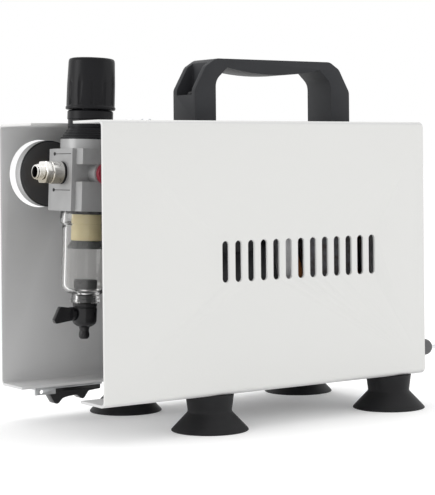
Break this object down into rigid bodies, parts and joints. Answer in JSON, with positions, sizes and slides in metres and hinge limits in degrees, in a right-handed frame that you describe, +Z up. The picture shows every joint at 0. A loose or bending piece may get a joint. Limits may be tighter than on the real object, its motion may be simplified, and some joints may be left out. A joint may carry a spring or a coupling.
{
  "type": "airbrush compressor",
  "caption": "Oil-free airbrush compressor in an open-ended folded sheet-steel casing with a bridge handle, suction feet and a filter-regulator with clear bowl.",
  "frame": {"origin": "centre of the bounding box at the level of the suction feet's rims", "axes": "+X from the open end with the regulator towards the closed end, +Y from the front panel to the rear panel, +Z up"},
  "size_m": [0.2856, 0.1488, 0.2365],
  "materials": {
    "white_paint": "satin white powder coat",
    "zinc_screw": "zinc-plated",
    "handle_plastic": "fine-textured charcoal nylon",
    "foot_rubber": "matt black rubber",
    "plated_steel": "bright zinc-plated sheet",
    "black_plastic": "moulded black plastic",
    "switch_plastic": "red moulded switch body",
    "boot_rubber": "grey rubber boot",
    "nickel": "nickel-plated brass",
    "cast_alloy": "light grey metallic die casting",
    "brass": "turned",
    "black_steel": "black oxide",
    "knob_plastic": "satin black with moulded flutes",
    "spring_steel": "spring wire",
    "seal_rubber": "nitrile rubber",
    "plug_red": "dark red moulding",
    "filter_felt": "sintered tan element",
    "baffle_plastic": "dark grey moulding",
    "clear_bowl": "clear polycarbonate",
    "gauge_paint": "black enamel",
    "dial_white": "white dial with printed ticks",
    "needle_black": "black enamel",
    "gauge_glass": "clear window",
    "hose_rubber": "braided hose",
    "black_alloy": "black-coated casting",
    "bare_steel": "ground steel",
    "rotor_steel": "laminated core with cast end rings",
    "lamination_steel": "varnished laminations",
    "copper_winding": "enamelled copper wire",
    "fan_plastic": "moulded fan"
  },
  "bodies": {
    "unit": {"casing": "white_paint", "end_plate": "white_paint", "panel_screws": "zinc_screw", "handle": "handle_plastic", "handle_screws": "black_steel", "handle_nuts": "zinc_screw", "foot_front_left": "foot_rubber", "foot_front_right": "foot_rubber", "foot_rear_left": "foot_rubber", "foot_rear_right": "foot_rubber", "foot_screws": "zinc_screw", "base_plate": "plated_steel", "hook_plate": "plated_steel", "hose_hook": "black_plastic", "switch_body": "switch_plastic", "switch_nut": "zinc_screw", "switch_boot": "boot_rubber", "cord_gland": "black_plastic", "regulator_body": "cast_alloy", "regulator_bonnet": "black_plastic", "range_spring": "spring_steel", "regulator_diaphragm": "seal_rubber", "regulator_bracket": "plated_steel", "port_plug": "plug_red", "outlet_seal": "seal_rubber", "outlet_nipple": "nickel", "filter_element": "filter_felt", "filter_baffle": "baffle_plastic", "filter_bowl": "clear_bowl", "bowl_seal": "seal_rubber", "drain_body": "black_plastic", "gauge_stem": "brass", "gauge_case": "gauge_paint", "gauge_dial": "dial_white", "gauge_lens": "gauge_glass", "hose_fittings": "nickel", "discharge_hose": "hose_rubber", "pump_head": "black_alloy", "head_screws": "zinc_screw", "valve_plate": "cast_alloy", "pump_diaphragm": "seal_rubber", "crankcase": "black_alloy", "shaft_bearings": "bare_steel", "motor_stator": "lamination_steel", "motor_windings": "copper_winding", "motor_frame": "cast_alloy"},
    "knob": {"adjusting_knob": "knob_plastic"},
    "pressure_screw": {"adjusting_screw": "black_steel"},
    "range_nut": {"spring_seat": "brass"},
    "poppet": {"regulator_poppet": "brass"},
    "needle": {"gauge_needle": "needle_black"},
    "drain_cock": {"drain_lever": "black_plastic"},
    "toggle": {"switch_lever": "nickel"},
    "crankshaft": {"eccentric": "bare_steel", "motor_shaft": "bare_steel", "motor_rotor": "rotor_steel", "cooling_fan": "fan_plastic"},
    "rod": {"connecting_rod": "cast_alloy", "rod_bearing": "bare_steel", "diaphragm_clamp": "bare_steel"}
  },
  "joints": [
    {"name": "crank_spin", "type": "hinge", "parent": "unit", "child": "crankshaft", "pos_m": [-0.01494, 0, 0.086], "axis": [1, 0, 0], "continuous": true},
    {"name": "rod_orbit", "type": "hinge", "parent": "crankshaft", "child": "rod", "pos_m": [-0.01494, 0, 0.0885], "axis": [1, 0, 0], "continuous": true},
    {"name": "pressure_turn", "type": "hinge", "parent": "unit", "child": "pressure_screw", "pos_m": [-0.10245, 0, 0.19547], "axis": [0.0436, 0, 0.999], "range_deg": [-720, 360]},
    {"name": "knob_lift", "type": "slide", "parent": "pressure_screw", "child": "knob", "axis": [0.0436, 0, 0.999], "range_m": [0, 0.0025]},
    {"name": "nut_travel", "type": "slide", "parent": "unit", "child": "range_nut", "axis": [0.0436, 0, 0.999], "range_m": [-0.003, 0.0015], "deforming": ["range_spring"]},
    {"name": "poppet_open", "type": "slide", "parent": "unit", "child": "poppet", "axis": [0.0436, 0, 0.999], "range_m": [-0.0015, 0], "stiffness_N_per_m": 400, "springref_m": 0.002},
    {"name": "needle_sweep", "type": "hinge", "parent": "unit", "child": "needle", "pos_m": [-0.10394, 0.0544, 0.1615], "axis": [0, -1, 0], "range_deg": [0, 270]},
    {"name": "drain_turn", "type": "hinge", "parent": "unit", "child": "drain_cock", "pos_m": [-0.11379, 0, 0.07335], "axis": [0.999, 0, -0.0436], "range_deg": [0, 90]},
    {"name": "switch_throw", "type": "hinge", "parent": "unit", "child": "toggle", "pos_m": [0.12756, -0.056, 0.0395], "axis": [0, 0, 1], "range_deg": [0, 22]}
  ],
  "couplings": [
    {"joint": "rod_orbit", "follows": "crank_spin", "ratio": -1},
    {"joint": "nut_travel", "follows": "pressure_turn", "m_per_rad": 0.00023873}
  ]
}
